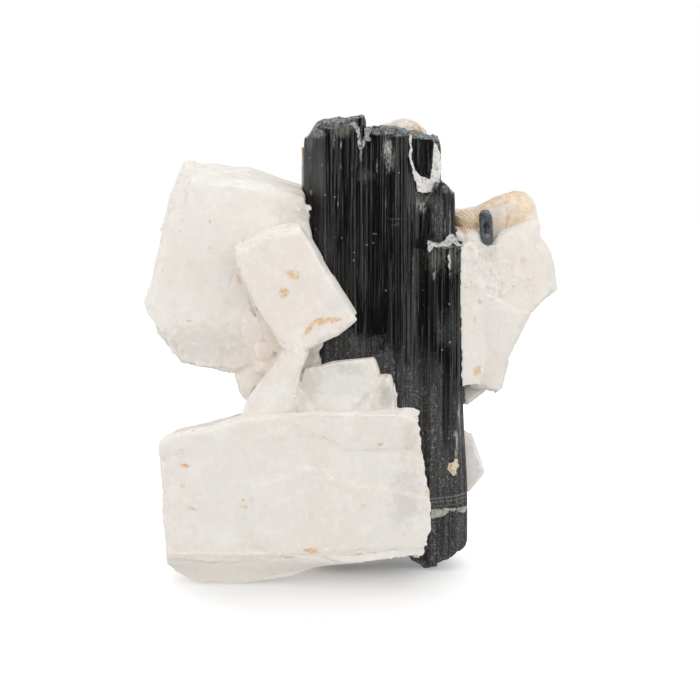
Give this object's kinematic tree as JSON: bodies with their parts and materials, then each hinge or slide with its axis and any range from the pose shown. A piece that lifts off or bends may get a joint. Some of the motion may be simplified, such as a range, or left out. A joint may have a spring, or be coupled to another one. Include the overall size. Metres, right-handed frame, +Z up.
{
  "type": "mineral specimen",
  "caption": "Blocky white quartz cluster around an upright, striated black tourmaline prism, as a free-standing hand specimen.",
  "frame": {"origin": "bottom centre of the whole specimen's bounding box, on the surface that it stands on", "axes": "+X to the right and +Y away from the viewer in the front view, +Z up along the black prism"},
  "size_m": [0.0728, 0.0514, 0.0809],
  "materials": {
    "quartz": "natural crystal faces, milky white, satin",
    "tourmaline": "natural striated crystal faces, black, glassy"
  },
  "bodies": {
    "root": {"quartz_cluster": "quartz", "tourmaline_prism": "tourmaline", "small_tourmaline": "tourmaline"}
  },
  "joints": []
}
